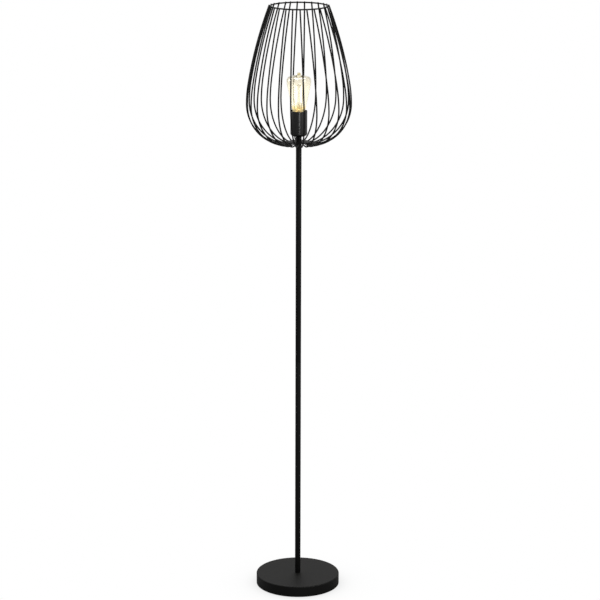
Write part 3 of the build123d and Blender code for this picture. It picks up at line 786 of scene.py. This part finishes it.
def tinted_glass(name, glow):
    """Clear warm glass, tan in the pip, with painted gold light in the neck and a painted glow fading
    at the crown.
    """
    material, tree, output = new_material(name)
    material.cycles.emission_sampling = "NONE"
    place = add(tree, "ShaderNodeTexCoord").outputs["Object"]
    height = add(tree, "ShaderNodeSeparateXYZ", {0: place}).outputs["Z"]
    # Painted gold light and reflection low in the neck, fading to clear glass above it.
    clear = add(tree, "ShaderNodeMapRange", {"Value": height, "From Min": (bulb_z + painted_gold_low) * mm,
                                             "From Max": (bulb_z + painted_gold_high) * mm},
                interpolation_type="SMOOTHSTEP")
    tone = add(tree, "ShaderNodeMix", {"Factor": clear.outputs["Result"],
                                       "A": linear(painted_gold_hex), "B": linear(glass_hex)},
               data_type="RGBA")
    above = add(tree, "ShaderNodeMapRange", {"Value": height,
                                             "From Min": (bulb_z + dome_h) * mm,
                                             "From Max": (bulb_z + dome_h + pip_blend) * mm})
    tone = add(tree, "ShaderNodeMix", {"Factor": above.outputs["Result"],
                                       "A": tone.outputs["Result"],
                                       "B": linear(glass_pip_hex)}, data_type="RGBA")
    # Painted glow, dimmer towards the crown.
    crown = add(tree, "ShaderNodeMapRange", {"Value": height,
                                             "From Min": (bulb_z + crown_low) * mm,
                                             "From Max": (bulb_z + crown_high) * mm})
    lit = add(tree, "ShaderNodeMix", {"Factor": crown.outputs["Result"],
                                      "A": linear(painted_glow_hex[0]), "B": linear(painted_glow_hex[1])},
              data_type="RGBA")
    uneven = add(tree, "ShaderNodeTexNoise", {"Vector": place, "Detail": 1.0,
                                              "Scale": 1 / (blown_ripple_mm * mm)})
    ripple = add(tree, "ShaderNodeBump", {"Height": uneven.outputs["Fac"],
                                          "Strength": ripple_strength,
                                          "Distance": ripple_height_mm * mm})
    body = add(tree, "ShaderNodeBsdfPrincipled", {
        "Base Color": tone.outputs["Result"], "Roughness": glass_rough, "IOR": glass_ior,
        "Transmission Weight": 1.0, "Normal": ripple.outputs["Normal"],
        "Emission Color": lit.outputs["Result"], "Emission Strength": glow})
    tree.links.new(body.outputs[0], output.inputs["Surface"])
    return material


def raised(outline):
    """An outline of the bulb, moved up to where the bulb sits."""
    return [(r, z + bulb_z) for r, z in outline]


def glass_corners(inset):
    """Corners of the glass's half outline, from the neck to the edge of its pip."""
    side_r = glass_r - inset
    edge = dome_edge_h - inset
    dome_turn = pi / 2 - atan2(dome_mid_h - dome_edge_h, glass_r - dome_mid_r)
    swell_h = edge - dome_bend_r * tan(dome_turn / 2) - side_straight - swell_reach
    swell_turn = atan2(glass_r - throat_r, swell_h - throat_h)
    neck_r = neck_out_r - inset
    return [(neck_r, glass_low, glass_foot_edge), (neck_r, neck_high_h, neck_bend_r),
            (throat_r - inset, throat_h, throat_bend_r),
            (side_r, swell_h, swell_reach / tan(swell_turn / 2)), (side_r, edge, dome_bend_r),
            (dome_mid_r, dome_mid_h - inset, dome_arc_r), (pip_r, dome_h - inset, pip_foot_r)]


outer = glass_corners(0) + [(pip_top_r, bulb_length, pip_edge_r), (0, bulb_length, 0)]
inner = [(0, dome_h - glass_wall, 0)] + glass_corners(glass_wall)[-2::-1]
blown_glass = tinted_glass("blown_glass", painted_glass_glow)
piece("bulb_envelope", [lathe(raised(rounded(outer + inner, 16)), glass_steps)], blown_glass,
      "bulb", "bulb_glass", "bulb_glass")


# ---------------------------------------------------------------- glass mount
# A flared glass tube, sealed into the neck all round its foot. Its upper end is pinched
# solid round the two lead wires, and a glass rod goes on up to carry the light strips.
flare_r = 11.3
flare_in_r = 10.3
flare_edge = 0.3
flare_bend_r = 5.0
flare_in_high = 28.9
flare_in_bend_r = 4.0
pinch_low_r = 5.4
pinch_low = 43.0
pinch_low_bend_r = 9.0
pinch_high_r = 4.4
pinch_high = 56.0
pinch_high_bend_r = 4.0
hollow_r = 4.4
hollow_bend_low = 42.0
hollow_bend_r = 6.0
hollow_end_r = 3.4
hollow_end = 45.0
hollow_end_bend_r = 1.6
hollow_high = 47.0
rod_r = 3.0
rod_low = 58.5
rod_foot_bend_r = 1.5
rod_high = 112.0
rod_end_bend_r = 2.2

mount = [(flare_in_r, glass_low, flare_edge), (flare_r, glass_low, flare_edge),
         (flare_r, neck_high_h, flare_bend_r), (pinch_low_r, pinch_low, pinch_low_bend_r),
         (pinch_high_r, pinch_high, pinch_high_bend_r), (rod_r, rod_low, rod_foot_bend_r),
         (rod_r, rod_high, rod_end_bend_r), (0, rod_high, 0), (0, hollow_high, 0),
         (hollow_end_r, hollow_end, hollow_end_bend_r), (hollow_r, hollow_bend_low, hollow_bend_r),
         (flare_in_r, flare_in_high, flare_in_bend_r)]
# The mount takes the same painted gold low down, without the painted glow.
mount_glass = tinted_glass("drawn_glass", 0.0)
piece("bulb_mount", [lathe(raised(rounded(mount, 8)), 64)], mount_glass, "bulb", "stem_glass",
      "bulb_stem")


# ---------------------------------------------------------------- light strips
# Four sapphire strips under yellow-white phosphor silicone, each with a nickel pin at both
# ends, welded round the glass rod. Two nickel-iron lead wires rise through the pinch.
strip_hex = ("fff4dc", "fffaf0")
strip_glow = 1.6
strip_cell_mm = 0.8
nickel_hex = ("77736c", "8f8b84")
nickel_grain_mm = 0.2
strip_count = 4
strip_turn = 45.0
strip_ring_r = 9.0
strip_r = 1.1
strip_low = 62.0
strip_high = 108.0
strip_end = 1.2
pin_r = 0.4
pin_sunk = 0.4
pin_bend = 0.7
pin_bend_rise = 0.3
pin_overlap = 2.0
lead_side = 2.1
lead_low = 24.0
lead_bend_low = 55.0
lead_bend_high = 58.0
lead_sunk = 0.2
lead_overlap = 1.0

phosphor, tree, output = new_material("phosphor_silicone")
phosphor.cycles.emission_sampling = "NONE"
place = add(tree, "ShaderNodeTexCoord").outputs["Object"]
cells = add(tree, "ShaderNodeTexNoise", {"Vector": place, "Scale": 1 / (strip_cell_mm * mm)})
tone = add(tree, "ShaderNodeMix", {"Factor": cells.outputs["Fac"], "A": linear(strip_hex[0]),
                                   "B": linear(strip_hex[1])}, data_type="RGBA")
lit = add(tree, "ShaderNodeBsdfPrincipled", {
    "Base Color": tone.outputs["Result"], "Roughness": 0.5,
    "Emission Color": tone.outputs["Result"], "Emission Strength": strip_glow})
tree.links.new(lit.outputs[0], output.inputs["Surface"])
nickel = grained("nickel_iron", nickel_hex, nickel_grain_mm, (0.3, 0.45), 0.005, 3.0,
                 Metallic=1.0)

tree, start = new_tree("set_round", {"Thing": "NodeSocketObject", "Finish": "NodeSocketMaterial"})
source = add(tree, "GeometryNodeObjectInfo", {"Object": start.outputs["Thing"]})
swing = add(tree, "GeometryNodeInputNamedAttribute", {"Name": "swing"}, data_type="FLOAT_VECTOR")
placed = add(tree, "GeometryNodeInstanceOnPoints", {"Points": start.outputs["Geometry"],
                                                    "Instance": source.outputs["Geometry"],
                                                    "Rotation": swing.outputs[0]})
end_tree(tree, start, placed.outputs[0])


def set_round(name, shapes, turns, material, slot, *replaced):
    """Sets copies of some closed shapes round the bulb's axis at the given turns."""
    points, faces = [], []
    for some_points, some_faces in shapes:
        faces += [tuple(len(points) + k for k in face) for face in some_faces]
        points += [tuple(c * mm for c in point) for point in some_points]
    mesh = bpy.data.meshes.new("one_" + name)
    mesh.from_pydata(points, [], faces)
    one = bpy.data.objects.new("one_" + name, mesh)
    scene.collection.objects.link(one)
    places = seeds(name, [(0, 0, bulb_z)] * len(turns), [(0, 0, turn) for turn in turns])
    made = grown(tree, places, Thing=one, Finish=material)
    bpy.data.objects.remove(one)
    settle(name, made, material, "bulb", slot, *replaced, crease=50)


def bar(radius, spots, sides=12):
    """A round bar through some points, its ends closed, as vertices and faces."""
    spots = [Vector(spot) for spot in spots]
    ways = [(b - a).normalized() for a, b in zip(spots, spots[1:])]
    points, faces = [], []
    for number, spot in enumerate(spots):
        way = (ways[max(number - 1, 0)] + ways[min(number, len(ways) - 1)]).normalized()
        across = way.cross((0, 1, 0)).normalized()
        other = way.cross(across)
        points += [tuple(spot + radius * (across * cos(2 * pi * k / sides)
                                          + other * sin(2 * pi * k / sides)))
                   for k in range(sides)]
    for j in range(len(spots) - 1):
        for k in range(sides):
            n = (k + 1) % sides
            faces.append((j * sides + k, j * sides + n, (j + 1) * sides + n, (j + 1) * sides + k))
    faces.append(tuple(range(sides))[::-1])
    faces.append(tuple(range((len(spots) - 1) * sides, len(spots) * sides)))
    return points, faces


strip_turns = [radians(strip_turn + 360 / strip_count * n) for n in range(strip_count)]
body_line = [(strip_ring_r, 0, strip_low + strip_end), (strip_ring_r, 0, strip_high - strip_end)]
set_round("light_strips", [bar(strip_r, body_line, 16)], strip_turns, phosphor, "light_strip",
          "bulb_filaments")
pins = []
for z, inward in ((strip_low + pin_r, 1), (strip_high - pin_r, -1)):
    pins.append(bar(pin_r, [(rod_r - pin_sunk, 0, z), (strip_ring_r - pin_bend, 0, z),
                            (strip_ring_r, 0, z + inward * pin_bend_rise),
                            (strip_ring_r, 0, z + inward * pin_overlap)]))
set_round("strip_pins", pins, strip_turns, nickel, "zinc_steel")
lead = [(lead_side, 0, lead_low), (lead_side, 0, lead_bend_low),
        (rod_r - lead_sunk, 0, lead_bend_high), (rod_r + pin_r, 0, strip_low + lead_overlap)]
set_round("lead_wires", [bar(pin_r, lead)], strip_turns[::2], nickel, "zinc_steel")


# ---------------------------------------------------------------- screw cap and its shell
# The cap is rolled from thin brass, its round thread turning up to the right, and cemented
# on the neck. The holder's shell is rolled to match, so that the bulb screws down in it.
thread_pitch = 3.629
thread_middle = 12.55
thread_depth = 0.55
thread_low = 7.0
thread_high = 21.0
thread_fade = 1.5
thread_rows = 10
cap_wall = 0.35
cap_low = 5.0
cap_high = 27.0
cap_edge_r = 12.0
shell_gap = 0.25
shell_wall = 0.5
shell_low = -3.05
shell_high = 23.95
shell_thread_low = 4.0
shell_thread_high = 20.5
lug_x = 10.0
lug_r = 3.6
lug_bore_r = 1.55
lug_edge = 0.1
cone_r = 4.4
cone_edge = 0.2
cap_foot_edge = 0.3
seal_r = 11.6
seal_low = 5.6
seal_high = 8.0
seal_edge = 0.4
tip_r = 4.5
tip_high = 1.5
tip_flat_r = 3.3
tip_bend_r = 1.8
tip_edge = 0.15
vitrite_grain_mm = 0.6
solder_grain_mm = 0.5
vitrite_hex = ("0a0a0c", "16161a")
solder_hex = ("8f9296", "b9bcc0")


def rolled_shell(low, high, start, stop, extra, wall, foot, steps=96):
    """A sheet shell with a rolled round thread between two heights. Above the thread it is
    plain at the thread's crest, and below it the foot is set out by the given amount."""
    count = int((high - low) / thread_pitch * thread_rows)
    points, faces = [], []
    for side, order in ((0, range(count + 1)), (-wall, range(count, -1, -1))):
        for row in order:
            z = low + (high - low) * row / count
            share = max(0.0, min(1.0, (z - start) / thread_fade, (stop - z) / thread_fade))
            plain = thread_depth if z > (start + stop) / 2 else foot
            for k in range(steps):
                turn = 2 * pi * k / steps
                wave = thread_depth * cos(2 * pi * z / thread_pitch - turn)
                r = thread_middle + extra + side + share * wave + (1 - share) * plain
                points.append((r * cos(turn), r * sin(turn), z + bulb_z))
    rows = 2 * (count + 1)
    for j in range(rows):
        for k in range(steps):
            n = (k + 1) % steps
            a, b = j * steps, (j + 1) % rows * steps
            faces.append((a + k, b + k, b + n, a + n))
    return points, faces


piece("cap", [rolled_shell(cap_low, cap_high, thread_low, thread_high, 0, cap_wall,
                           -thread_depth)], brass, "bulb", "brass", "bulb_cap")
sleeve = rolled_shell(shell_low, shell_high, shell_thread_low, shell_thread_high,
                      shell_gap + shell_wall, shell_wall, thread_depth)
points, faces = tube(lug_r, lug_bore_r, shell_low + bulb_z, shell_low + shell_wall + bulb_z, lug_edge,
                     32)
lug = [(x + lug_x, y, z) for x, y, z in points], faces
piece("threaded_shell", [sleeve, lug], brass, "lamp", "brass", "thread_shell")

vitrite = grained("black_vitrite", vitrite_hex, vitrite_grain_mm, (0.08, 0.16), 0.01, 5.0)
cone = [(0, tip_high, 0), (cone_r, tip_high, cone_edge), (cap_edge_r, cap_low, cap_foot_edge),
        (seal_r, seal_low, cone_edge), (seal_r, seal_high, seal_edge), (0, seal_high, 0)]
piece("insulator", [lathe(raised(rounded(cone, 4)), 64)], vitrite, "bulb_seal", "black_glass",
      "bulb_insulator")
solder = grained("tinned_solder", solder_hex, solder_grain_mm, (0.25, 0.45), 0.03, 2.5,
                 Metallic=1.0)
dome = [(0, 0, 0), (tip_flat_r, 0, tip_bend_r), (tip_r, tip_high, tip_edge), (0, tip_high, 0)]
piece("tip", [lathe(raised(rounded(dome, 6)), 48)], solder, "bulb_seal", "solder", "bulb_tip")
